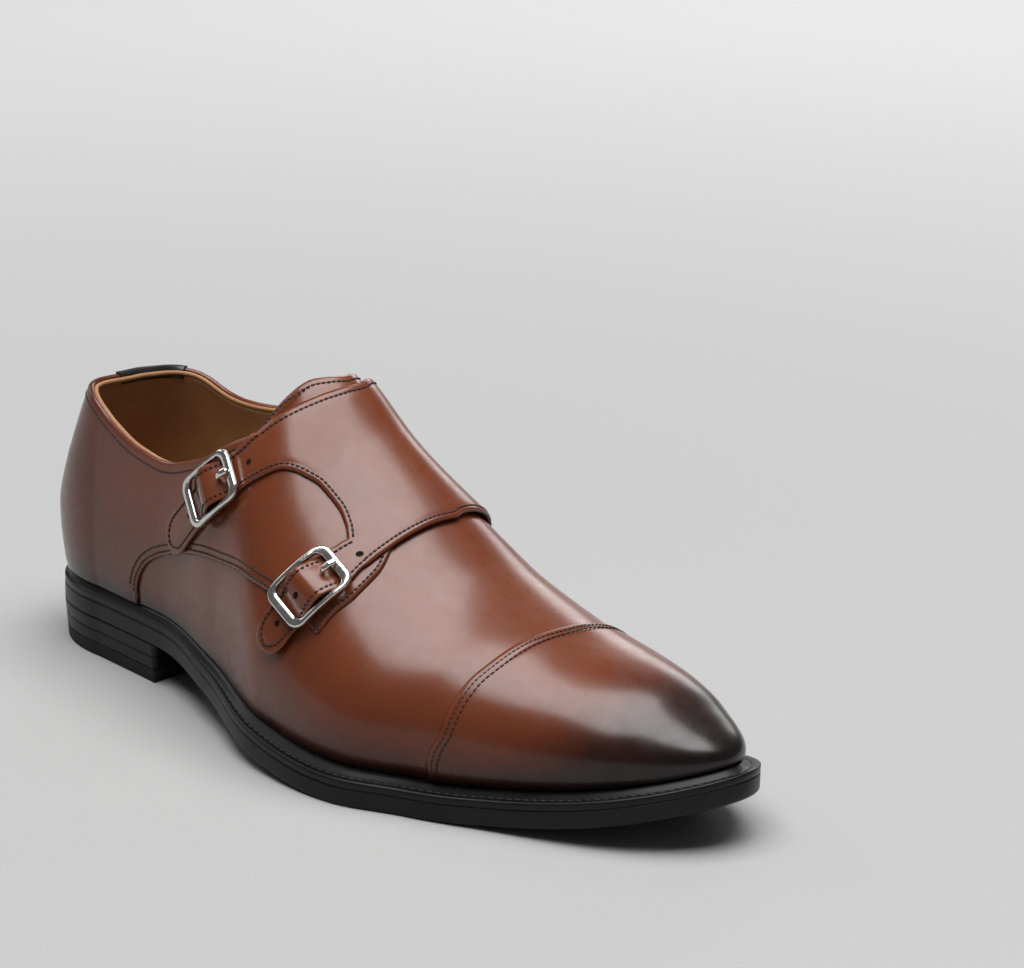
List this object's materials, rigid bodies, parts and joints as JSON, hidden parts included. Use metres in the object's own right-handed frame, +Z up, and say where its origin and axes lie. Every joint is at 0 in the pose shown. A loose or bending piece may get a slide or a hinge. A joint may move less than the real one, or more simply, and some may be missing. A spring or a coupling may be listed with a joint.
{
  "type": "double monk strap shoe",
  "caption": "Low leather dress shoe for the right foot with a plain toe cap, two buckled straps over the instep, a welted sole and a low stacked heel.",
  "frame": {"origin": "on the floor, under the middle of the shoe's box", "axes": "+X from heel to toe, +Y towards the medial (inner) side, +Z up"},
  "size_m": [0.305, 0.1114, 0.1174],
  "materials": {
    "upper_brown": "burnished brown calf leather, glossy, darker at the toe",
    "lining_tan": "matt tan lining leather",
    "edge_black": "black dyed and waxed sole leather, satin",
    "rubber": "matt black rubber",
    "buckle_steel": "polished silver"
  },
  "bodies": {
    "root": {"outsole": "edge_black", "welt": "edge_black", "heel_top_piece": "rubber", "heel_lift_1": "edge_black", "heel_lift_2": "edge_black", "insole": "lining_tan", "upper": "upper_brown", "tongue": "upper_brown", "strap_panel": "upper_brown", "buckle_frame_upper": "buckle_steel", "buckle_prong_upper": "buckle_steel", "buckle_frame_lower": "buckle_steel", "buckle_prong_lower": "buckle_steel"}
  },
  "joints": []
}
